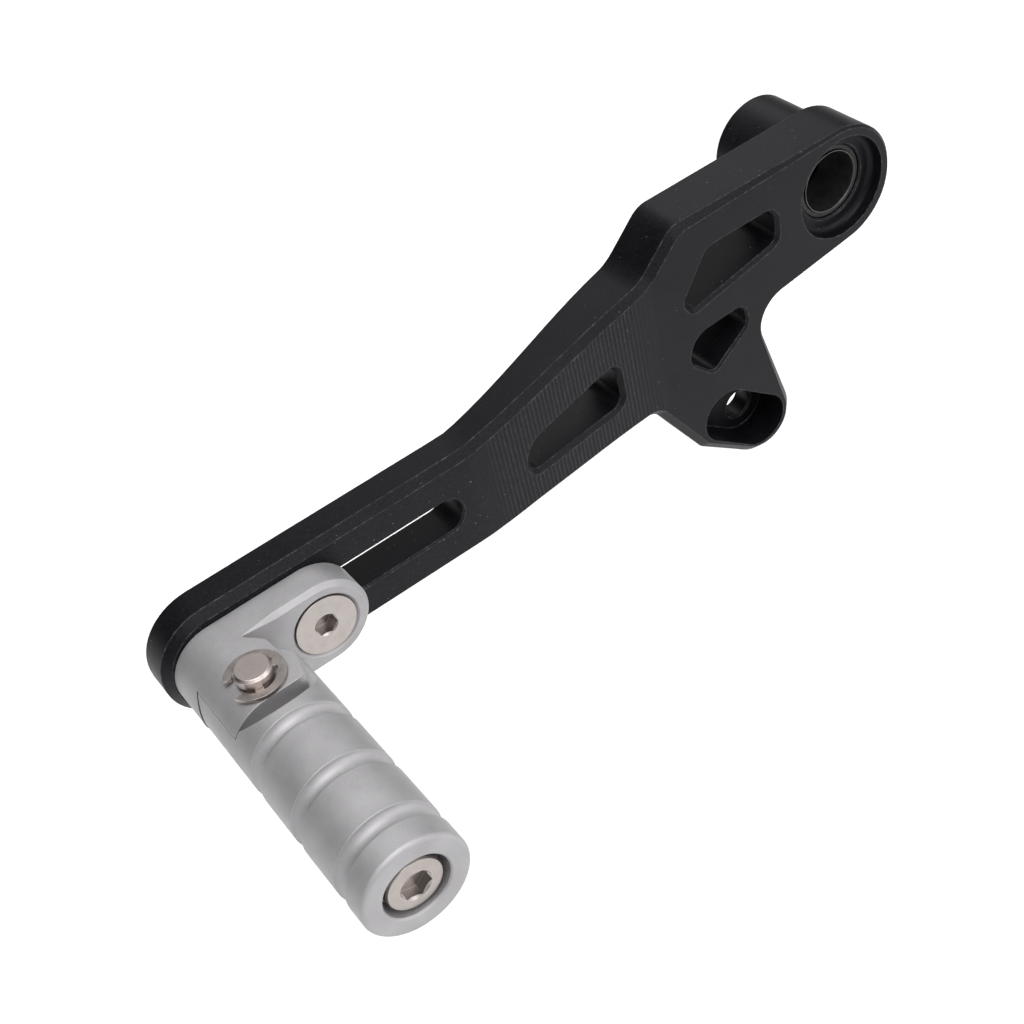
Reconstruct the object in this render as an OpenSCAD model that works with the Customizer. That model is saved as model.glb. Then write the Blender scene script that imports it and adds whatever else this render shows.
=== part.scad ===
// Adjustable gear shift lever with a folding toe peg.
// Frame: the pivot axis is Y. X runs forward to the toe, Y outwards and Z up.
// The origin is the pivot axis at the outer face of the pivot plate.

/* [Reach] */
// Forward distance from the pivot axis to the toe peg axis
peg_x = 156; // [150:1:162]
// Drop from the pivot axis to the centre line of the toe section
toe_drop = 13.5; // [12.5:0.5:14.5]
// Distance that the outer face of the toe section stands out from the pivot plate
ramp_rise = 6.2; // [5:0.1:7]

/* [Lever plate] */
// Radius of the round pivot end
boss_r = 13.3; // [13:0.1:14]
// Half of the height of the toe section
toe_r = 12; // [11.5:0.5:12.5]
// Thickness of the toe section
toe_t = 8; // [7:0.5:9]
// Thickness of the pivot plate
plate_t = 12.5; // [11.2:0.1:13]
// Wide bevel along the outer edges of the arm
edge_bevel = 1.6; // [1.2:0.1:1.8]
// Small bevel round the pivot end
boss_bevel = 0.6; // [0.4:0.1:0.8]
// Pitch of the ball-milled scallops on the ramp
scallop_pitch = 1; // [0.8:0.1:1.5]
// Depth of the scallops
scallop_depth = 0.09; // [0.05:0.01:0.15]

/* [Pivot] */
// Outer radius of the sleeve behind the plate
sleeve_r = 10.8; // [10.5:0.1:11.2]
// Length of the whole pivot tube
tube_len = 27.6; // [26:0.2:30]
// Radius of the plain bush bore
bush_bore_r = 6.5; // [6:0.1:6.6]
// Wall thickness of the bushes
bush_wall = 1; // [0.8:0.1:1]
// Radius of the counterbore in the outer face
counterbore_r = 11.1; // [10.8:0.1:11.2]
// Depth of the counterbore
counterbore_d = 3.2; // [2.8:0.1:3.4]

/* [Linkage ear] */
// Forward place of the linkage hole
ear_x = 26.8; // [26:0.1:27.4]
// Drop of the linkage hole below the pivot axis
ear_drop = 46; // [45.5:0.1:46.5]
// Radius of the linkage hole
ear_hole_r = 3.2; // [3:0.1:3.5]
// Half of the width of the nut pocket
pocket_r = 6.1; // [5.6:0.1:6.3]
// Depth of the nut pocket
pocket_d = 8; // [7:0.5:8.5]

/* [Adjusting slot] */
// Half of the height of the slot
slot_r = 3.85; // [3.7:0.05:4]
// Forward end of the slot's travel, nearest the pivot
slot_x0 = 107.4; // [106:0.2:109]
// Forward end of the slot nearest the toe
slot_x1 = 154.2; // [152:0.2:156]

/* [Peg bracket] */
// Half of the height of the bracket
bracket_r = 9.2; // [8.8:0.1:9.6]
// Thickness of the screw pad
pad_t = 6.6; // [6:0.1:6.8]
// Distance of the clamp screw behind the peg axis
screw_back = 17.6; // [17:0.1:18.2]
// Inner half gap between the two cheeks
cheek_gap = 5.3; // [5:0.1:5.6]
// Height of the hinge pin above the pad face
pin_rise = 10.3; // [10.2:0.1:11]
// Length of the cheeks beyond the pin
cheek_reach = 5.5; // [5:0.1:5.6]

/* [Toe peg] */
// Outer radius of the peg
peg_r = 10; // [9.5:0.1:10.2]
// Place of the peg's end face
peg_end = 70.6; // [66:0.2:76]
// Radius of the grooves' round section
groove_r = 1.8; // [1.4:0.1:2]
// Radius of the hinge pin
pin_r = 3.5; // [3:0.1:3.5]

/* [Hidden] */
$fn = 96;

black = "#2b2b2e";
silver = "#b4b4b2";
steel = "#b8aea8";

slide_gap = 0.1;       // clearance between the lever's faces and what slides on it
side_gap = 0.3;        // clearance at the sides of sliding and swinging pieces
eps = 0.01;
arc_step = 6;          // degrees per step of an outline's arcs
cut = 60;              // longer than anything that is cut
axis_z = -toe_drop;
screw_x = peg_x - screw_back;
plate_back = -plate_t;
toe_back = ramp_rise - toe_t;
back_bevel = 0.4;
pad_y = ramp_rise + slide_gap + pad_t;
pin_y = pad_y + pin_rise;
cheek_end = pin_y + cheek_reach;

// ---------- outline arithmetic (points are [x, z], anticlockwise) ----------

function wrap(list, i) = list[(i + len(list)) % len(list)];
function unit(v) = v / norm(v);
function flat(p) = [p[0], p[1]];
function total(list, i = 0) = i == len(list) ? [0, 0] : list[i] + total(list, i + 1);
function mean(list) = total(list) / len(list);
function left_of(v) = [-v[1], v[0]];

// The arc that rounds corner p between its neighbours a and b
function corner_arc(a, p, b) =
    let (u = unit(flat(a) - flat(p)), v = unit(flat(b) - flat(p)),
        inside = acos(u * v), turn = 180 - inside,
        centre = flat(p) + unit(u + v) * p[2] / sin(inside / 2),
        start = flat(p) + u * p[2] / tan(inside / 2) - centre,
        way = left_of(-u) * v > 0 ? 1 : -1,
        first = atan2(start[1], start[0]), n = max(1, ceil(turn / arc_step)))
    [for (k = [0:n]) centre + p[2] * [cos(first + way * turn * k / n),
                                      sin(first + way * turn * k / n)]];

function rounded(corners) =
    [for (i = [0:len(corners) - 1])
        each corner_arc(wrap(corners, i - 1), corners[i], wrap(corners, i + 1))];

// Long stretches over the ramp are divided, because the face curves there
function divided(points) =
    [for (i = [0:len(points) - 1])
        let (a = points[i], b = wrap(points, i + 1),
            curved = max(a[0], b[0]) > ramp_x0 && min(a[0], b[0]) < ramp_x1,
            n = curved ? max(1, ceil(norm(b - a) / 4)) : 1)
        each [for (k = [0:n - 1]) a + (b - a) * k / n]];

// A point list moved inwards by the distance that inset(point) gives
function moved_in(points, inset) =
    [for (i = [0:len(points) - 1])
        let (n1 = left_of(unit(points[i] - wrap(points, i - 1))),
            n2 = left_of(unit(wrap(points, i + 1) - points[i])))
        points[i] + (n1 + n2) / (1 + n1 * n2) * inset(points[i])];

// A closed solid through rings of 3-D points, from the lowest Y to the highest. Its ends are
// fans about the middle, which must see the whole of the ring
module ring_solid(rings, middle) {
    n = len(rings[0]);
    top = (len(rings) - 1) * n;
    ends = len(rings) * n;
    polyhedron(
        points = concat([for (r = rings) each r],
            [[middle[0], rings[0][0][1], middle[1]],
             [middle[0], rings[len(rings) - 1][0][1], middle[1]]]),
        faces = concat(
            [for (i = [0:n - 1]) [ends, (i + 1) % n, i]],
            [for (k = [0:len(rings) - 2], i = [0:n - 1]) let (j = (i + 1) % n)
                each [[k * n + i, k * n + j, (k + 1) * n + j],
                      [k * n + i, (k + 1) * n + j, (k + 1) * n + i]]],
            [for (i = [0:n - 1]) [ends + 1, top + i, top + (i + 1) % n]]));
}

// ---------- the lever's faces as heights over X ----------

ramp_x0 = 50;
ramp_x1 = 100;
scallop_x0 = 50.5;
scallops = 48;
scallop_points = 4;

function eased(t) = let (c = min(1, max(0, t))) 0.5 * c + 0.5 * c * c * (3 - 2 * c);
function front_y(x) = ramp_rise * eased((x - ramp_x0) / (ramp_x1 - ramp_x0));
function back_y(x) =
    plate_back + (toe_back - plate_back) * eased((x - ramp_x0) / (ramp_x1 - ramp_x0));
function scallop(u) = scallop_depth * pow(2 * abs(u - floor(u) - 0.5), 2)
    * min(1, (u + 1) / 9, (scallops - u + 1) / 7);

front_line = concat(
    [[-2 * boss_r, 0], [ramp_x0, 0]],
    [for (i = [0:scallops * scallop_points])
        let (u = i / scallop_points, x = scallop_x0 + u * scallop_pitch)
        [x, front_y(x) + scallop(u)]],
    [[ramp_x1, ramp_rise], [peg_x + 2 * toe_r, ramp_rise]]);
back_line = concat(
    [[peg_x + 2 * toe_r, toe_back], [ramp_x1, toe_back]],
    [for (i = [19:-1:1]) let (x = ramp_x0 + (ramp_x1 - ramp_x0) * i / 20) [x, back_y(x)]],
    [[ramp_x0, plate_back], [-2 * boss_r, plate_back]]);

// ---------- the lever's outline and windows ----------

bottom_rise = 0.13;    // slope of the pivot plate's lower edge
ramp_top = 5;          // height where the ramp's upper edge meets the step
ear_out = 8.3;
lever_corners = [
    [-boss_r, boss_r, boss_r], [-boss_r, -boss_r + 10 * bottom_rise, boss_r - 0.1],
    [25.9, -16.9, 7], [11.9, -67.9, ear_out], [42.8, -43.9, 4], [53.1, -27.1, 4],
    [86, axis_z - toe_r, 60], [peg_x + toe_r, axis_z - toe_r, toe_r - 0.3],
    [peg_x + toe_r, axis_z + toe_r, toe_r - 0.3], [100, axis_z + toe_r, 40],
    [51.5, ramp_top, 9], [42.2, boss_r, 6]];
lever_outline = divided(rounded(lever_corners));

window_near = rounded([[16.7, 5.3, 3.6], [16.9, -4.1, 3.4], [41.2, -8.7, 2.4], [43.3, -4.6, 2.6],
    [35.7, 5.3, 3.6]]);
window_ramp = divided(rounded([[60.4, -6.9, 3.4], [60.4, -19.3, 3.4], [87.6, -18.4, 3.4],
    [87.6, -9.9, 5.5]]));
window_low = rounded([[27.6, -13, 3], [27, -19, 3], [37.6, -26.2, 2.2], [43.6, -20, 3.4],
    [41.6, -13.6, 5.5]]);
ear_tilt = 39;
pocket_len = 11.4;     // from the linkage hole to the far end's centre

// Bevel width: narrow near the pivot, full from the ramp and down the ear
function bevel(p) = let (t = (norm(p) - 34) / 10)
    boss_bevel + (edge_bevel - boss_bevel) * min(1, max(0, t));

function at_y(points, y) = [for (p = points) [p[0], y, p[1]]];

module lever_blank() {
    over = 0.6;        // the bevel planes run this far past the faces
    p = lever_outline;
    n = len(p) - 1;
    front_in = moved_in(p, function (q) bevel(q) + over);
    back_in = moved_in(p, function (q) back_bevel + over);
    intersection() {
        ring_solid([
            at_y(back_in, -cut),
            [for (i = [0:n]) [back_in[i][0], back_y(p[i][0]) - over, back_in[i][1]]],
            [for (i = [0:n]) [p[i][0], back_y(p[i][0]) + back_bevel, p[i][1]]],
            [for (i = [0:n]) [p[i][0], front_y(p[i][0]) - bevel(p[i]), p[i][1]]],
            [for (i = [0:n]) [front_in[i][0], front_y(p[i][0]) + over, front_in[i][1]]],
            at_y(front_in, cut)], [38, -8]);
        translate([0, 0, -2 * cut])
            linear_extrude(4 * cut)
                polygon(concat(front_line, back_line));
    }
}

// A hole through the plate with bevelled rims that follow both faces. points is its outline in
// the outer face
module window(points, rim) {
    n = len(points) - 1;
    over = 0.4;
    back_rim = 0.3;
    wall = moved_in(points, function (q) rim);
    out = moved_in(points, function (q) -over);
    back_out = moved_in(points, function (q) rim - back_rim - over);
    ring_solid([
        at_y(back_out, -cut),
        [for (i = [0:n]) [back_out[i][0], back_y(points[i][0]) - over, back_out[i][1]]],
        [for (i = [0:n]) [wall[i][0], back_y(points[i][0]) + back_rim, wall[i][1]]],
        [for (i = [0:n]) [wall[i][0], front_y(points[i][0]) - rim, wall[i][1]]],
        [for (i = [0:n]) [out[i][0], front_y(points[i][0]) + over, out[i][1]]],
        at_y(out, cut)], mean(points));
}

// ---------- shared shapes ----------

// Cylinder or cone along Y, from y0 with radius r0 to y1 with radius r1
module y_cone(y0, y1, r0, r1) {
    translate([0, y1, 0])
        rotate([90, 0, 0])
            cylinder(h = y1 - y0, r1 = r1, r2 = r0);
}

module y_rod(y0, y1, r) {
    translate([0, y1, 0])
        rotate([90, 0, 0])
            cylinder(h = y1 - y0, r = r);
}

// Ring about Y with a round section
module y_ring(y, ring_radius, section_radius) {
    translate([0, y, 0])
        rotate([90, 0, 0])
            rotate_extrude()
                translate([ring_radius, 0])
                    circle(r = section_radius, $fn = 32);
}

// Straight slot with round ends along X, from y0 to y1
module y_slot(y0, y1, length, r) {
    y_rod(y0, y1, r);
    translate([length, 0, 0])
        y_rod(y0, y1, r);
    translate([0, y0, -r])
        cube([length, y1 - y0, 2 * r]);
}

module hex_socket(across_flats, depth) {
    cylinder(r = across_flats / 2 / cos(30), h = depth, $fn = 6);
}

// Move to the toe section's centre line at x
module toe(x, y = 0) {
    translate([x, y, axis_z])
        children();
}

// ---------- lever ----------

lip = 0.25;            // thin lip of each bush, inside its seal
lip_len = 1.8;
seal_seat_r = bush_bore_r + 1.55;
bush_face = counterbore_d + 0.3;
bush_len = 10;
inner_bush_face = tube_len - 0.3;
floor_fillet = 1.4;

module lever_arm() {
    color(black)
        difference() {
            union() {
                lever_blank();
                y_rod(-tube_len + 0.8, plate_back + 1, sleeve_r);
                y_cone(-tube_len, -tube_len + 0.8, sleeve_r - 0.8, sleeve_r);
            }
            y_rod(-cut, cut, bush_bore_r + bush_wall);
            y_rod(-counterbore_d, cut, counterbore_r - floor_fillet);
            y_rod(-counterbore_d + floor_fillet, cut, counterbore_r);
            y_ring(-counterbore_d + floor_fillet, counterbore_r - floor_fillet, floor_fillet);
            y_rod(-bush_face - lip_len, 0, seal_seat_r);
            y_cone(-counterbore_d - 0.3, -counterbore_d + eps, seal_seat_r, seal_seat_r + 0.31);
            y_rod(-cut, -inner_bush_face + lip_len, seal_seat_r);
            window(window_near, 0.8);
            window(window_ramp, 0.9);
            window(window_low, 0.5);
            translate([ear_x, 0, -ear_drop]) {
                y_rod(-cut, cut, ear_hole_r);
                y_cone(-pocket_d - 0.4, -pocket_d + eps, ear_hole_r, ear_hole_r + 0.41);
                rotate([0, -ear_tilt, 0])
                    y_slot(-pocket_d, cut, pocket_len, pocket_r);
            }
            toe(slot_x0)
                y_slot(-cut, cut, slot_x1 - slot_x0, slot_r);
            toe(slot_x0)
                slot_rim(slot_x1 - slot_x0);
        }
}

// Fine bevel round the slot's outer rim
module slot_rim(length) {
    rim = 0.35;
    y_cone(ramp_rise - rim, ramp_rise + eps, slot_r, slot_r + rim + eps);
    translate([length, 0, 0])
        y_cone(ramp_rise - rim, ramp_rise + eps, slot_r, slot_r + rim + eps);
    translate([0, ramp_rise, 0])
        rotate([90, 0, 90])
            linear_extrude(length)
                polygon([[-rim, slot_r], [-rim, -slot_r], [eps, -slot_r - rim - eps],
                    [eps, slot_r + rim + eps]]);
}

// Plain bush along -Y from its lip's face
module pivot_bush() {
    color("#8c8478")
        difference() {
            union() {
                y_rod(-bush_len, -lip_len, bush_bore_r + bush_wall);
                y_rod(-lip_len - 1, 0, bush_bore_r + lip);
            }
            y_rod(-cut, cut, bush_bore_r);
            y_cone(-lip, eps, bush_bore_r, bush_bore_r + lip / 2);
            y_cone(-bush_len - eps, -bush_len + 0.3, bush_bore_r + 0.31, bush_bore_r);
        }
}

// Flat rubber ring with rounded edges, in front of the bush and round its lip
module pivot_seal() {
    soft = 0.35;
    color("#161616")
        rotate([90, 0, 0])
            rotate_extrude()
                translate([bush_bore_r + lip + 0.05, 0.3])
                    hull()
                        for (x = [soft, 1.2 - soft], y = [soft, lip_len - 0.35 - soft])
                            translate([x, y])
                                circle(r = soft, $fn = 24);
}

module pivot_bush_outer() {
    translate([0, -bush_face, 0])
        pivot_bush();
}

module pivot_bush_inner() {
    translate([0, -inner_bush_face, 0])
        mirror([0, 1, 0])
            pivot_bush();
}

module pivot_seal_outer() {
    translate([0, -bush_face, 0])
        pivot_seal();
}

module pivot_seal_inner() {
    translate([0, -inner_bush_face, 0])
        mirror([0, 1, 0])
            pivot_seal();
}

// ---------- bracket ----------

bracket_y = ramp_rise + slide_gap;
cheek_x0 = -6.8;       // back edge of the cheeks, from the peg axis
knuckle_r = 9.9;       // round end of the knuckle, about the pin
heel_r = 12;           // larger round end on the toe side, which makes the stop
key_len = 22;
head_r = 6.2;

module bracket_profile() {
    translate([screw_x, axis_z])
        circle(r = bracket_r);
    translate([peg_x + 1, axis_z])
        circle(r = bracket_r);
    translate([screw_x, axis_z - bracket_r])
        square([screw_back + 1, 2 * bracket_r]);
}

// The cheeks' shape seen from above, from the peg axis
module cheek_plan() {
    polygon(rounded([[-2.6, bracket_y - 2, 0.5], [12, bracket_y - 2, 0.5],
        [12, cheek_end, 0.5], [cheek_x0, cheek_end, 2], [cheek_x0 - 0.8, pin_y + 0.6, 3],
        [-5.9, pin_y - 2.4, 3], [-5.6, pin_y - 6.6, 2], [-2.6, pad_y + 0.1, 1.5]]));
}

module peg_bracket() {
    color(silver)
        difference() {
            union() {
                difference() {
                    translate([0, pad_y, 0])
                        rotate([90, 0, 0])
                            linear_extrude(pad_t)
                                bracket_profile();
                    toe(screw_x)
                        pad_bevel();
                }
                intersection() {
                    translate([0, cut, 0])
                        rotate([90, 0, 0])
                            linear_extrude(cut - bracket_y)
                                bracket_profile();
                    translate([peg_x, 0, axis_z - bracket_r - 1])
                        linear_extrude(2 * bracket_r + 2)
                            cheek_plan();
                }
                toe(peg_x - key_len + 1)
                    y_slot(ramp_rise - 2.2, bracket_y + 1, key_len - 7, slot_r - side_gap);
            }
            toe(screw_x) {
                y_rod(-cut, cut, 3.3);
                y_cone(pad_y - 3.9, pad_y + eps, 3, 6.9 + eps);
            }
            toe(peg_x, pin_y)
                knuckle_seat();
            toe(peg_x, pin_y)
                cylinder(r = pin_r + 0.02, h = cut, center = true);
        }
}

// Bevel round the screw end of the pad, which runs out in a taper along each side
module pad_bevel() {
    rim = 0.9;
    difference() {
        y_rod(pad_y - rim, pad_y + 1, bracket_r + 2);
        y_cone(pad_y - rim - eps, pad_y + 1.1, bracket_r + eps, bracket_r - rim - 1.1);
        translate([0, pad_y - 2, -bracket_r - 3])
            cube([cut, 4, 2 * bracket_r + 6]);
    }
    straight = screw_back - 9.5;
    taper = 7;
    for (side = [0, 1])
        mirror([0, 0, side])
            translate([-eps, pad_y, bracket_r]) {
                rotate([90, 0, 90])
                    linear_extrude(straight)
                        polygon([[eps, -rim], [eps, 1], [-rim, 1], [-rim, 0]]);
                translate([straight - eps, 0, 0])
                    polyhedron(
                        points = [[0, 0, -rim], [0, -rim, 0], [0, 1, 1], [taper, 0, 0]],
                        faces = [[0, 2, 1], [2, 0, 3], [1, 2, 3], [0, 1, 3]]);
            }
}

// Room between the cheeks for the knuckle, about the pin. The step at the bottom, where the
// deeper round floor of the toe side ends, stops the peg
module knuckle_seat() {
    translate([0, 0, -cheek_gap])
        linear_extrude(2 * cheek_gap) {
            intersection() {
                circle(r = heel_r + side_gap);
                translate([0, -cut])
                    square([cut, cut]);
            }
            translate([-cut, pad_y - pin_y])
                square([cut + eps, cut]);
            translate([-eps, -eps])
                square([cut, cut]);
        }
}

// ---------- clamp ----------

module clamp_screw() {
    head_top = pad_y - 0.1;
    color(steel)
        toe(screw_x)
            difference() {
                union() {
                    y_rod(head_top - 0.4, head_top, head_r);
                    y_cone(head_top - 3.6, head_top - 0.4, 3, head_r);
                    y_rod(toe_back - 6.5, head_top - 3.6 + eps, 3);
                }
                translate([0, head_top + eps, 0])
                    rotate([90, 0, 0])
                        rotate([0, 0, 12]) {
                            hex_socket(4, 2.6);
                            cylinder(r1 = 2.45, r2 = 2, h = 0.35);
                        }
            }
}

module slot_nut() {
    nut_face = toe_back - slide_gap;
    color("#7d7f82")
        toe(screw_x)
            difference() {
                union() {
                    translate([-7.5, nut_face - 4.5, -7.5])
                        cube([15, 4.5, 15]);
                    translate([-4, 0, 0])
                        y_slot(nut_face - 1, nut_face + 2.5, 8, slot_r - side_gap);
                }
                y_rod(-cut, cut, 3);
            }
}

// ---------- hinge ----------

pin_top = 12.1;
clip_z = bracket_r + 0.05;
clip_t = 0.8;
clip_groove_r = 2.6;

module hinge_pin() {
    nose = 0.5;
    color(steel)
        toe(peg_x, pin_y)
            difference() {
                union() {
                    translate([0, 0, -bracket_r - 2])
                        cylinder(r1 = 4.6, r2 = 5, h = 0.5);
                    translate([0, 0, -bracket_r - 1.5])
                        cylinder(r = 5, h = 1.5);
                    translate([0, 0, -bracket_r - eps])
                        cylinder(r = pin_r, h = bracket_r + pin_top - nose + eps);
                    translate([0, 0, pin_top - nose])
                        cylinder(r1 = pin_r, r2 = pin_r - nose, h = nose);
                }
                translate([0, 0, clip_z - 0.05])
                    difference() {
                        cylinder(r = 5, h = clip_t + 0.1);
                        translate([0, 0, -1])
                            cylinder(r = clip_groove_r, h = 3);
                    }
            }
}

module hinge_clip() {
    prong = 1.6;
    color("#9a928c")
        toe(peg_x, pin_y)
            translate([0, 0, clip_z])
                linear_extrude(clip_t)
                    difference() {
                        circle(r = 5.6);
                        circle(r = clip_groove_r + 0.02);
                        difference() {
                            circle(r = 4.1);
                            for (a = [75, 180, 285])
                                rotate(a)
                                    translate([0, -prong / 2])
                                        square([6, prong]);
                        }
                        translate([0, -2.2])
                            square([8, 4.4]);
                    }
}

wire_r = 0.6;
coil_r = 4.9;
coils = 4;
spring_half = 3.2;     // half of the height of the spring's room
coil_pitch = 1.35;
wire_sides = 8;
coil_steps = 20;
fixed_leg = 9.8;       // length of the leg held by the bracket
moving_leg = 7;        // length of the leg held by the knuckle

// The wire's centre line: a leg, the coils and the other leg
spring_path = concat(
    [[coil_r, -fixed_leg, -coil_pitch * coils / 2]],
    [for (i = [0:coils * coil_steps]) let (a = 360 * i / coil_steps)
        [coil_r * cos(a), coil_r * sin(a), coil_pitch * (a / 360 - coils / 2)]],
    [[coil_r, moving_leg, coil_pitch * coils / 2]]);

function wire_ring(path, i) =
    let (t = unit(path[min(i + 1, len(path) - 1)] - path[max(i - 1, 0)]),
        side = unit(cross(t, [0, 0, 1])), up = cross(side, t))
    [for (k = [0:wire_sides - 1]) let (a = 360 * k / wire_sides)
        path[i] + wire_r * (cos(a) * side + sin(a) * up)];

module hinge_spring() {
    n = wire_sides;
    m = len(spring_path);
    color("#8f8f92")
        toe(peg_x, pin_y)
            polyhedron(
                points = [for (i = [0:m - 1]) each wire_ring(spring_path, i)],
                faces = concat(
                    [[for (k = [0:n - 1]) k]],
                    [for (i = [0:m - 2], k = [0:n - 1]) let (j = (k + 1) % n)
                        each [[i * n + k, (i + 1) * n + k, (i + 1) * n + j],
                              [i * n + k, (i + 1) * n + j, i * n + j]]],
                    [[for (k = [n - 1:-1:0]) (m - 1) * n + k]]));
}

module hinge_bushes() {
    color("#8a7348")
        toe(peg_x, pin_y)
            for (side = [-1, 1])
                translate([0, 0, side * (spring_half + 0.95) - 0.9])
                    difference() {
                        cylinder(r = pin_r + 1, h = 1.8);
                        translate([0, 0, -1])
                            cylinder(r = pin_r + 0.03, h = 4);
                    }
}

// ---------- peg ----------

pocket_arc = 9.55;     // radius about the pin that the cheeks need as the peg folds
groove_1 = 36.4;
groove_pitch = 13.7;
spigot_r = 6.5;
spigot_end = 58;
tongue_half = cheek_gap - side_gap;

module groove(y) {
    y_ring(y, peg_r + 0.4, groove_r);
}

module peg_knuckle() {
    color(silver)
        difference() {
            union() {
                intersection() {
                    toe(peg_x)
                        y_rod(pin_y - heel_r - 1, groove_1, peg_r);
                    toe(peg_x, pin_y)
                        union() {
                            tongue();
                            shoulder();
                        }
                }
                toe(peg_x)
                    y_rod(groove_1 - 1, spigot_end, spigot_r);
            }
            toe(peg_x)
                groove(groove_1);
            toe(peg_x)
                y_rod(spigot_end - 18, cut + 30, 3);
            toe(peg_x, pin_y) {
                translate([0, 0, -cut])
                    cylinder(r = pin_r + 1, h = 2 * cut);
                spring_room();
            }
        }
}

module tongue() {
    translate([0, 0, -tongue_half])
        linear_extrude(2 * tongue_half) {
            circle(r = knuckle_r);
            intersection() {
                circle(r = heel_r);
                translate([side_gap, -cut])
                    square([cut, 2 * cut]);
            }
            translate([-peg_r, 0])
                square([2 * peg_r, cut]);
        }
}

// The full-width part of the knuckle, cut back where the cheeks are and where they pass
module shoulder() {
    translate([0, 0, -peg_r - 1])
        linear_extrude(2 * peg_r + 2)
            difference() {
                translate([-peg_r - 1, 0])
                    square([2 * peg_r + 2, cut]);
                circle(r = pocket_arc);
                translate([0, -eps])
                    square([cut, cheek_reach + 0.35 + eps]);
            }
}

module spring_room() {
    leg_room = wire_r + side_gap;
    translate([0, 0, -spring_half - 0.2])
        cylinder(r = coil_r + 1.2, h = 2 * spring_half + 0.4);
    translate([coil_r - leg_room, 0, 1.6])
        cube([2 * leg_room, moving_leg + 0.6, 1.8]);
    difference() {
        translate([0, 0, -spring_half - 0.3])
            cylinder(r = heel_r + 4, h = 1.6);
        translate([coil_r + leg_room, -cut, -cut])
            cube([cut, 2 * cut, 2 * cut]);
        translate([-cut, 0, -cut])
            cube([2 * cut, cut, 2 * cut]);
    }
}

module peg_sleeve() {
    seat = 4.2;        // depth of the recess for the screw head
    edge = 0.9;
    color(silver)
        toe(peg_x)
            difference() {
                union() {
                    y_rod(groove_1 + 0.02, peg_end - edge, peg_r);
                    y_rod(groove_1 + 0.02, peg_end, peg_r - edge);
                    y_ring(peg_end - edge, peg_r - edge, edge);
                }
                for (i = [0:2])
                    groove(groove_1 + i * groove_pitch);
                y_rod(groove_1 - 1, spigot_end + 0.5, spigot_r + 0.02);
                y_rod(groove_1, cut + 30, 3.3);
                y_rod(peg_end - seat, cut + 30, 6.2);
                y_cone(peg_end - 0.3, peg_end + eps, 6.2, 6.51);
            }
}

module sleeve_screw() {
    seat = peg_end - 3.5;
    head_h = 3.3;
    dome = 26;         // radius of the slightly domed top
    color(steel)
        toe(peg_x)
            difference() {
                union() {
                    y_rod(spigot_end - 15, seat + eps, 2.95);
                    intersection() {
                        union() {
                            y_rod(seat, seat + head_h - 0.9, 5.2);
                            y_cone(seat + head_h - 0.9, seat + head_h, 5.2, 4.7);
                        }
                        translate([0, seat + head_h - dome, 0])
                            sphere(r = dome);
                    }
                }
                translate([0, seat + head_h + eps, 0])
                    rotate([90, 0, 0])
                        rotate([0, 0, 20]) {
                            hex_socket(5, 2.3);
                            cylinder(r1 = 3.2, r2 = 2.6, h = 0.5);
                        }
            }
}

module sleeve_washer() {
    color("#a39c96")
        toe(peg_x)
            difference() {
                y_rod(peg_end - 4.2, peg_end - 3.5, 5.8);
                y_rod(0, cut + 30, 3.1);
            }
}

lever_arm();
pivot_bush_outer();
pivot_bush_inner();
pivot_seal_outer();
pivot_seal_inner();
peg_bracket();
clamp_screw();
slot_nut();
hinge_pin();
hinge_clip();
hinge_spring();
hinge_bushes();
peg_knuckle();
peg_sleeve();
sleeve_screw();
sleeve_washer();
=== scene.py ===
"""Adjustable gear shift lever: materials, floor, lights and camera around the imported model."""

import math

import bpy
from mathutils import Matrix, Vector


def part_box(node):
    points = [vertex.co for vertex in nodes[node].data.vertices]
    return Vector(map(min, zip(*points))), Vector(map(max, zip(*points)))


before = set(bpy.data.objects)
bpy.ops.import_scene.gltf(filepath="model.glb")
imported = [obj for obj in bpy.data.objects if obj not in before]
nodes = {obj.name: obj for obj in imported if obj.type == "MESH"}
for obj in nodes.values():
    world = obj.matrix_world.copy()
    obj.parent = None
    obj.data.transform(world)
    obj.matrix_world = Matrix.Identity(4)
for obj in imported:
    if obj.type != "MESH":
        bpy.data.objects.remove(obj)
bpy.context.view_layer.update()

# Lengths are in metres, angles in degrees, colours in linear RGB, lamp powers in watts.
MM = 0.001
PIVOT_AXIS = (0, 0, 0)
BUSH_BORE_R = 6.5 * MM
BEVEL_SAMPLES = 4

# Facets of the arm and the spring that meet at less than this are shaded as one surface.
SMOOTH_BELOW = {"lever_arm": 14, "hinge_spring": 60}

# The floor is far enough below for no shadow edge to show from the photo's side.
FLOOR_SIZE = 40.0
FLOOR_PLACE = (0.08, 0.0, -0.10)

# The sky's strength grows with the dot product of the view direction and SKY_TILT.
SKY_TILT = (-0.25, 0.40, 0.75)
SKY_SPAN = (-0.12, 0.80)
SKY_STRENGTH = (0.01, 1.0)

# Each lamp: place, aim, side of the square, power.
SOFTBOXES = {
    "key": ((0.24, 0.24, 0.85), (0.08, 0.02, 0.0), 0.7, 7.5),
    "fill": ((-0.45, 0.75, 0.35), (0.08, 0.02, 0.0), 0.6, 2.8),
    "back": ((-0.45, -0.85, 0.65), (0.08, 0.0, 0.0), 0.6, 1.9),
}

CAMERA_PLACE = (0.19395, 0.21836, 0.19724)
CAMERA_TURN = (46.0369, 11.1059, 144.8394)
CAMERA_SENSOR_MM = 36.0
CAMERA_LENS_MM = 58.155
CAMERA_SHIFT = (0.0123, 0.0013)
CAMERA_NEAR = 0.01


# ---------- shader helpers ----------

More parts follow.
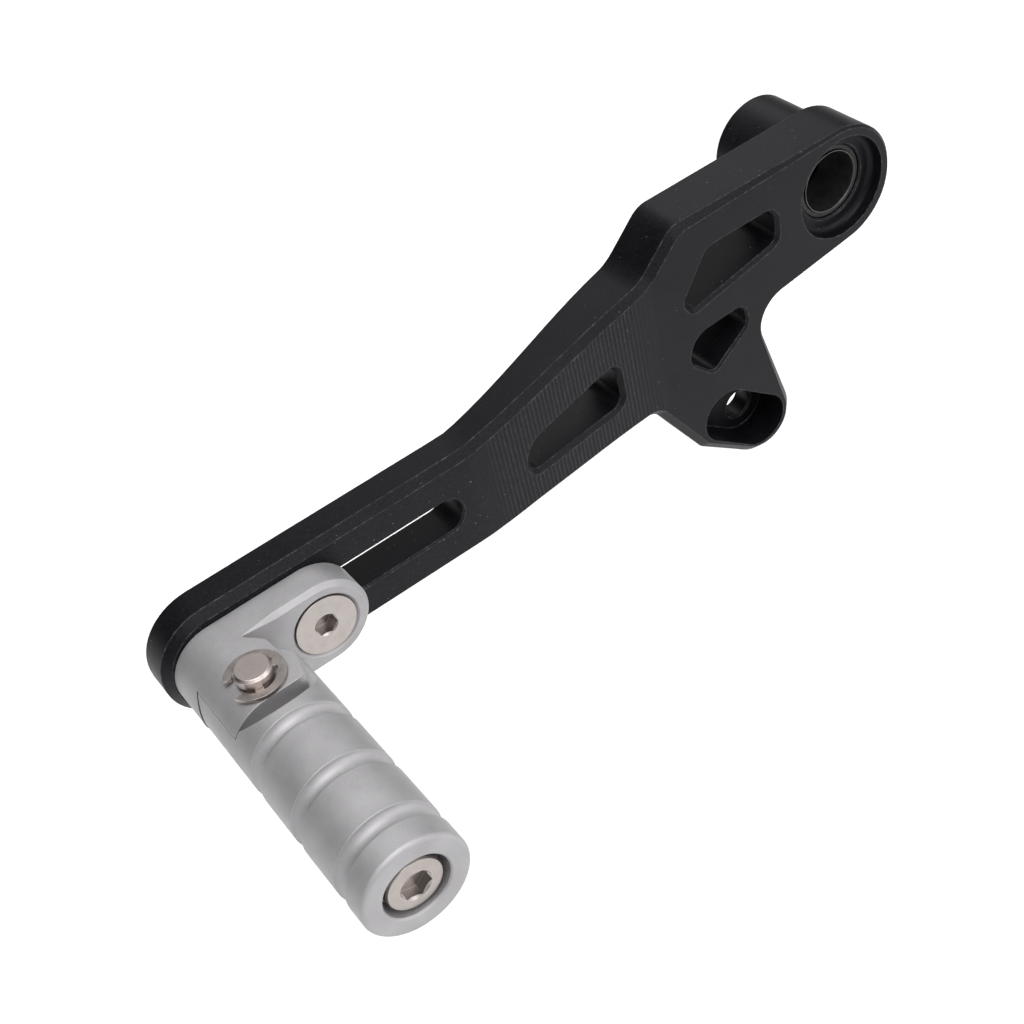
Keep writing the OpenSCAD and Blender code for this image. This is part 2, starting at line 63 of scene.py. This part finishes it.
class Shader:
    """A small builder for one material's node tree."""

    def __init__(self, name):
        self.material = bpy.data.materials.new(name)
        self.material.use_nodes = True
        self.tree = self.material.node_tree
        self.tree.nodes.clear()
        self.out = self.tree.nodes.new("ShaderNodeOutputMaterial")
        self.bsdf = self.tree.nodes.new("ShaderNodeBsdfPrincipled")
        self.link(self.bsdf.outputs["BSDF"], self.out.inputs["Surface"])
        self.position = self.node("ShaderNodeTexCoord").outputs["Object"]

    def node(self, kind, **values):
        made = self.tree.nodes.new(kind)
        for key, value in values.items():
            setattr(made, key, value)
        return made

    def link(self, a, b):
        self.tree.links.new(a, b)

    def put(self, value, socket):
        """Link an output, or set a constant: a tuple is a colour, a list a vector."""
        if isinstance(value, bpy.types.NodeSocket):
            self.link(value, socket)
        elif isinstance(value, tuple):
            socket.default_value = (*value, 1.0)
        else:
            socket.default_value = value

    def set(self, **values):
        """Inputs of the surface, with their names' spaces written as underscores."""
        for key, value in values.items():
            self.put(value, self.bsdf.inputs[key.replace("_", " ")])

    def math(self, operation, a, b):
        n = self.node("ShaderNodeMath", operation=operation)
        self.put(a, n.inputs[0])
        self.put(b, n.inputs[1])
        return n.outputs[0]

    def vector_math(self, operation, a, b=None, result="Vector"):
        n = self.node("ShaderNodeVectorMath", operation=operation)
        self.link(a, n.inputs[0])
        if b is not None:
            self.put(b, n.inputs[1])
        return n.outputs[result]

    def levels(self, fac, span, result=(0.0, 1.0)):
        """fac stretched from span to result, and held at result's ends."""
        n = self.node("ShaderNodeMapRange", clamp=True)
        for i, value in enumerate((*span, *result), 1):
            n.inputs[i].default_value = value
        self.link(fac, n.inputs["Value"])
        return n.outputs["Result"]

    def mix(self, fac, a, b):
        n = self.node("ShaderNodeMix", data_type="RGBA", blend_type="MIX")
        self.put(fac, n.inputs["Factor"])
        self.put(a, n.inputs["A"])
        self.put(b, n.inputs["B"])
        return n.outputs["Result"]

    def shares(self, a, a_share, b, b_share):
        """The weighted sum of two values."""
        return self.math("ADD", self.math("MULTIPLY", a, a_share),
                         self.math("MULTIPLY", b, b_share))

    def ramp(self, fac, *stops):
        """Each stop is (place, colour)."""
        n = self.node("ShaderNodeValToRGB")
        elements = n.color_ramp.elements
        while len(elements) < len(stops):
            elements.new(0.5)
        for element, (place, colour) in zip(elements, stops):
            element.position = place
            element.color = (*colour, 1.0)
        self.link(fac, n.inputs["Fac"])
        return n.outputs["Color"]

    def noise(self, size, detail, roughness=0.5):
        """Noise whose grains are about size across."""
        n = self.node("ShaderNodeTexNoise")
        n.inputs["Scale"].default_value = 1.0 / size
        n.inputs["Detail"].default_value = detail
        n.inputs["Roughness"].default_value = roughness
        self.link(self.position, n.inputs["Vector"])
        return n.outputs["Fac"]

    def axis_distance(self, centre, axis):
        """Distance from a line along X, Y or Z through centre."""
        offset = self.vector_math("SUBTRACT", self.position, list(centre))
        across = [0.0 if k == axis else 1.0 for k in "XYZ"]
        flattened = self.vector_math("MULTIPLY", offset, across)
        return self.vector_math("LENGTH", flattened, result="Value")

    def rings(self, centre, axis, pitch):
        """Turning marks: noise that varies only with distance from the axis."""
        n = self.node("ShaderNodeTexNoise", noise_dimensions="1D")
        n.inputs["Scale"].default_value = 1.0 / pitch
        n.inputs["Detail"].default_value = 3.0
        self.link(self.axis_distance(centre, axis), n.inputs["W"])
        return n.outputs["Fac"]

    def rounded_normal(self, radius):
        n = self.node("ShaderNodeBevel", samples=BEVEL_SAMPLES)
        n.inputs["Radius"].default_value = radius
        return n.outputs["Normal"]

    def edges(self, radius, full=0.90, none=0.995):
        """1 near convex and concave edges, 0 on open faces.

        full and none are the cosines between the true and the rounded normal
        at which the result reaches 1 and 0.
        """
        flat = self.node("ShaderNodeNewGeometry").outputs["Normal"]
        cosine = self.vector_math("DOT_PRODUCT", self.rounded_normal(radius), flat, "Value")
        return self.levels(cosine, (none, full))

    def bump(self, *layers, soft_edge=0.0):
        """Each layer is (height output, strength, distance)."""
        last = self.rounded_normal(soft_edge) if soft_edge else None
        for height, strength, distance in layers:
            n = self.node("ShaderNodeBump")
            n.inputs["Strength"].default_value = strength
            n.inputs["Distance"].default_value = distance
            self.link(height, n.inputs["Height"])
            if last is not None:
                self.link(last, n.inputs["Normal"])
            last = n.outputs["Normal"]
        self.link(last, self.bsdf.inputs["Normal"])


# ---------- materials ----------

def black_anodised(name):
    """Black coat with a fine blasted grain, a painted highlight along its edges and a few bare
    specks.
    """
    coat_low = (0.0004, 0.0004, 0.0010)
    coat_mid = (0.0026, 0.0025, 0.0036)
    coat_high = (0.0090, 0.0088, 0.0110)
    # Pale colour painted along the edges as a highlight.
    edge_highlight_colour = (0.17, 0.17, 0.18)
    bare_speck = (0.20, 0.20, 0.21)
    s = Shader(name)
    grain = s.noise(0.32 * MM, 2.0, 0.7)
    cloud = s.noise(9 * MM, 3.0)
    both = s.shares(grain, 0.8, cloud, 0.2)
    base = s.ramp(both, (0.36, coat_low), (0.50, coat_mid), (0.64, coat_high))
    patchy = s.levels(s.noise(1.2 * MM, 4.0, 0.7), (0.45, 0.72), (0.15, 1.0))
    # Painted highlight: the pale colour laid in patches along convex and concave edges.
    edge_highlight = s.math("MULTIPLY", s.math("MULTIPLY", s.edges(0.35 * MM), patchy), 0.9)
    speck = s.levels(s.noise(0.5 * MM, 1.0), (0.775, 0.81), (0.0, 0.7))
    s.set(Base_Color=s.mix(speck, s.mix(edge_highlight, base, edge_highlight_colour), bare_speck),
          Roughness=s.levels(both, (0.35, 0.65), (0.36, 0.52)), Metallic=0.0, IOR=1.5,
          Specular_IOR_Level=0.155, Specular_Tint=(0.95, 0.94, 1.0))
    s.bump((grain, 0.45, 0.03 * MM), (s.noise(0.7 * MM, 2.0), 0.25, 0.03 * MM),
           soft_edge=0.25 * MM)
    return s.material


def silver_blasted(name, tone):
    """Blasted, silver-anodised aluminium whose middle grey is tone."""
    s = Shader(name)
    grain = s.noise(0.28 * MM, 2.0, 0.7)
    cloud = s.noise(6 * MM, 3.0)
    base = s.ramp(s.shares(grain, 0.55, cloud, 0.45),
                  (0.28, (tone * 0.82, tone * 0.80, tone * 0.82)),
                  (0.52, (tone, tone * 0.98, tone)),
                  (0.76, (tone * 1.16, tone * 1.14, tone * 1.17)))
    # Painted highlight: a paler grey laid along the edges.
    edge_highlight = s.math("MULTIPLY", s.edges(0.3 * MM), 0.35)
    s.set(Base_Color=s.mix(edge_highlight, base, (0.56, 0.55, 0.56)),
          Roughness=s.levels(grain, (0.3, 0.7), (0.56, 0.68)), Metallic=0.8)
    s.bump((s.noise(0.6 * MM, 2.0), 0.2, 0.03 * MM), (grain, 0.4, 0.025 * MM),
           soft_edge=0.25 * MM)
    return s.material


def turned_steel(name, centre, axis, colour, pitch=0.09 * MM):
    """Lathe-turned metal with rings about the axis through centre."""
    s = Shader(name)
    rings = s.rings(centre, axis, pitch)
    cloud = s.noise(2.5 * MM, 3.0)
    base = s.mix(s.levels(cloud, (0.35, 0.7), (0.0, 0.5)), colour, tuple(c * 0.8 for c in colour))
    # Painted highlight: a pale colour laid along the edges.
    edge_highlight = s.math("MULTIPLY", s.edges(0.2 * MM, none=0.99), 0.4)
    s.set(Base_Color=s.mix(edge_highlight, base, (0.74, 0.71, 0.69)),
          Roughness=s.levels(rings, (0.3, 0.7), (0.26, 0.40)), Metallic=1.0)
    s.bump((rings, 0.25, 0.02 * MM), (s.noise(0.3 * MM, 3.0), 0.12, 0.01 * MM),
           soft_edge=0.15 * MM)
    return s.material


def zinc(name):
    """Zinc plating with a cell pattern."""
    s = Shader(name)
    cells = s.node("ShaderNodeTexVoronoi", feature="F1")
    cells.inputs["Scale"].default_value = 1.0 / (0.9 * MM)
    s.link(s.position, cells.inputs["Vector"])
    fine = s.noise(0.2 * MM, 3.0)
    spangle = s.levels(cells.outputs["Distance"], (0.0, 0.9))
    s.set(Base_Color=s.mix(spangle, (0.40, 0.41, 0.43), (0.30, 0.31, 0.33)),
          Roughness=s.levels(fine, (0.3, 0.7), (0.34, 0.5)), Metallic=0.95)
    s.bump((fine, 0.25, 0.015 * MM), soft_edge=0.25 * MM)
    return s.material


def spring_steel(name):
    """Drawn steel with a slight tint that comes and goes."""
    s = Shader(name)
    draw = s.noise(0.12 * MM, 3.0, 0.6)
    tint = s.levels(s.noise(2.0 * MM, 2.0), (0.35, 0.65))
    s.set(Base_Color=s.mix(tint, (0.33, 0.30, 0.285), (0.42, 0.385, 0.365)),
          Roughness=s.levels(draw, (0.3, 0.7), (0.24, 0.38)), Metallic=1.0)
    s.bump((draw, 0.2, 0.01 * MM), soft_edge=0.1 * MM)
    return s.material


def bush_liner(name):
    """Bronze back with a dark, smooth plastic lining in the bore."""
    s = Shader(name)
    lining_skin = (BUSH_BORE_R + 0.06 * MM, BUSH_BORE_R + 0.10 * MM)
    lined = s.levels(s.axis_distance(PIVOT_AXIS, "Y"), lining_skin, (1.0, 0.0))
    smear = s.noise(1.4 * MM, 4.0, 0.6)
    fine = s.noise(0.12 * MM, 3.0)
    lining = s.mix(s.levels(smear, (0.35, 0.7)), (0.008, 0.008, 0.008), (0.020, 0.020, 0.020))
    bronze = s.mix(s.levels(fine, (0.3, 0.7)), (0.11, 0.105, 0.10), (0.16, 0.155, 0.15))
    s.set(Base_Color=s.mix(lined, bronze, lining),
          Roughness=s.levels(smear, (0.3, 0.7), (0.36, 0.48)),
          Metallic=s.math("SUBTRACT", 1.0, lined))
    s.bump((fine, 0.2, 0.01 * MM))
    return s.material


def rubber(name):
    """Black rubber with patches of pale dust."""
    s = Shader(name)
    fine = s.noise(0.1 * MM, 3.0, 0.65)
    dust = s.levels(s.noise(0.8 * MM, 3.0), (0.55, 0.75), (0.0, 0.5))
    s.set(Base_Color=s.mix(dust, (0.012, 0.012, 0.012), (0.05, 0.049, 0.047)),
          Roughness=s.levels(fine, (0.3, 0.7), (0.62, 0.82)), Metallic=0.0)
    s.bump((fine, 0.5, 0.03 * MM))
    return s.material


def floor_paper(name):
    """Matt white paper."""
    s = Shader(name)
    shade = s.levels(s.noise(0.4, 2.0), (0.3, 0.7))
    s.set(Base_Color=s.mix(shade, (0.95, 0.95, 0.95), (0.96, 0.96, 0.96)), Roughness=0.9)
    return s.material


# ---------- the CAD nodes' looks ----------

def middle(name):
    low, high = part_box(name)
    return tuple((a + b) / 2 for a, b in zip(low, high))


looks = {
    "lever_arm": black_anodised("black_anodised"),
    "pivot_bush_outer": bush_liner("bush_lined"),
    "pivot_seal_outer": rubber("seal_rubber"),
    "peg_bracket": silver_blasted("silver_blasted", 0.37),
    "clamp_screw": turned_steel("clamp_steel", middle("clamp_screw"), "Y", (0.40, 0.365, 0.345)),
    "slot_nut": zinc("nut_zinc"),
    "hinge_pin": turned_steel("pin_steel", middle("hinge_pin"), "Z", (0.52, 0.46, 0.435),
                              pitch=0.12 * MM),
    "hinge_clip": spring_steel("spring_steel"),
    "hinge_bushes": turned_steel("bush_bronze", middle("hinge_pin"), "Z", (0.50, 0.38, 0.20)),
    "peg_sleeve": silver_blasted("silver_peg", 0.385),
    "sleeve_screw": turned_steel("sleeve_screw_steel", middle("sleeve_screw"), "Y",
                                 (0.38, 0.345, 0.325)),
}
looks["pivot_bush_inner"] = looks["pivot_bush_outer"]
looks["pivot_seal_inner"] = looks["pivot_seal_outer"]
looks["hinge_spring"] = looks["hinge_clip"]
looks["peg_knuckle"] = looks["peg_sleeve"]
looks["sleeve_washer"] = looks["sleeve_screw"]

for name, obj in nodes.items():
    for slot in obj.material_slots:
        slot.material = looks[name]


def smooth_facets(limit):
    """Geometry nodes that shade smoothly across edges flatter than limit."""
    group = bpy.data.node_groups.new("smooth_facets", "GeometryNodeTree")
    for side in ("INPUT", "OUTPUT"):
        group.interface.new_socket("Geometry", in_out=side, socket_type="NodeSocketGeometry")
    source = group.nodes.new("NodeGroupInput")
    result = group.nodes.new("NodeGroupOutput")
    weld = group.nodes.new("GeometryNodeMergeByDistance")
    weld.inputs["Distance"].default_value = 0.001 * MM
    angle = group.nodes.new("GeometryNodeInputMeshEdgeAngle")
    flatter = group.nodes.new("FunctionNodeCompare")
    flatter.operation = "LESS_THAN"
    flatter.inputs["B"].default_value = math.radians(limit)
    faces = group.nodes.new("GeometryNodeSetShadeSmooth")
    faces.domain = "FACE"
    edges = group.nodes.new("GeometryNodeSetShadeSmooth")
    edges.domain = "EDGE"
    group.links.new(source.outputs[0], weld.inputs["Geometry"])
    group.links.new(weld.outputs["Geometry"], faces.inputs["Geometry"])
    group.links.new(faces.outputs["Geometry"], edges.inputs["Geometry"])
    group.links.new(angle.outputs["Unsigned Angle"], flatter.inputs["A"])
    group.links.new(flatter.outputs["Result"], edges.inputs["Shade Smooth"])
    group.links.new(edges.outputs["Geometry"], result.inputs[0])
    return group


for name, limit in SMOOTH_BELOW.items():
    nodes[name].modifiers.new("smooth", "NODES").node_group = smooth_facets(limit)


# ---------- floor, light and camera ----------

def sky_gradient():
    """White world light whose strength depends only on the direction."""
    world = bpy.data.worlds.new("studio")
    world.use_nodes = True
    tree = world.node_tree
    background = tree.nodes["Background"]
    background.inputs["Color"].default_value = (1.0, 1.0, 1.0, 1.0)
    tilt = tree.nodes.new("ShaderNodeVectorMath")
    tilt.operation = "DOT_PRODUCT"
    tilt.inputs[1].default_value = SKY_TILT
    direction = tree.nodes.new("ShaderNodeTexCoord").outputs["Generated"]
    tree.links.new(direction, tilt.inputs[0])
    strength = tree.nodes.new("ShaderNodeMapRange")
    for i, value in enumerate((*SKY_SPAN, *SKY_STRENGTH), 1):
        strength.inputs[i].default_value = value
    tree.links.new(tilt.outputs["Value"], strength.inputs["Value"])
    tree.links.new(strength.outputs["Result"], background.inputs["Strength"])
    return world


def softbox(name, place, aim, side, power):
    data = bpy.data.lights.new(name, "AREA")
    data.shape = "RECTANGLE"
    data.size = side
    data.size_y = side
    data.energy = power
    lamp = bpy.data.objects.new(name, data)
    bpy.context.collection.objects.link(lamp)
    lamp.location = place
    lamp.rotation_euler = (Vector(aim) - Vector(place)).to_track_quat("-Z", "Y").to_euler()


bpy.ops.mesh.primitive_plane_add(size=FLOOR_SIZE, location=FLOOR_PLACE)
floor = bpy.context.object
floor.name = "studio_floor"
floor.data.materials.append(floor_paper("floor_paper"))

bpy.context.scene.world = sky_gradient()
for name, settings in SOFTBOXES.items():
    softbox(name, *settings)

camera = bpy.data.objects.new("camera", bpy.data.cameras.new("camera"))
bpy.context.collection.objects.link(camera)
camera.location = CAMERA_PLACE
camera.rotation_euler = tuple(math.radians(a) for a in CAMERA_TURN)
camera.data.sensor_width = CAMERA_SENSOR_MM
camera.data.lens = CAMERA_LENS_MM
camera.data.shift_x, camera.data.shift_y = CAMERA_SHIFT
camera.data.clip_start = CAMERA_NEAR
bpy.context.scene.camera = camera
bpy.context.scene.view_settings.view_transform = "Standard"
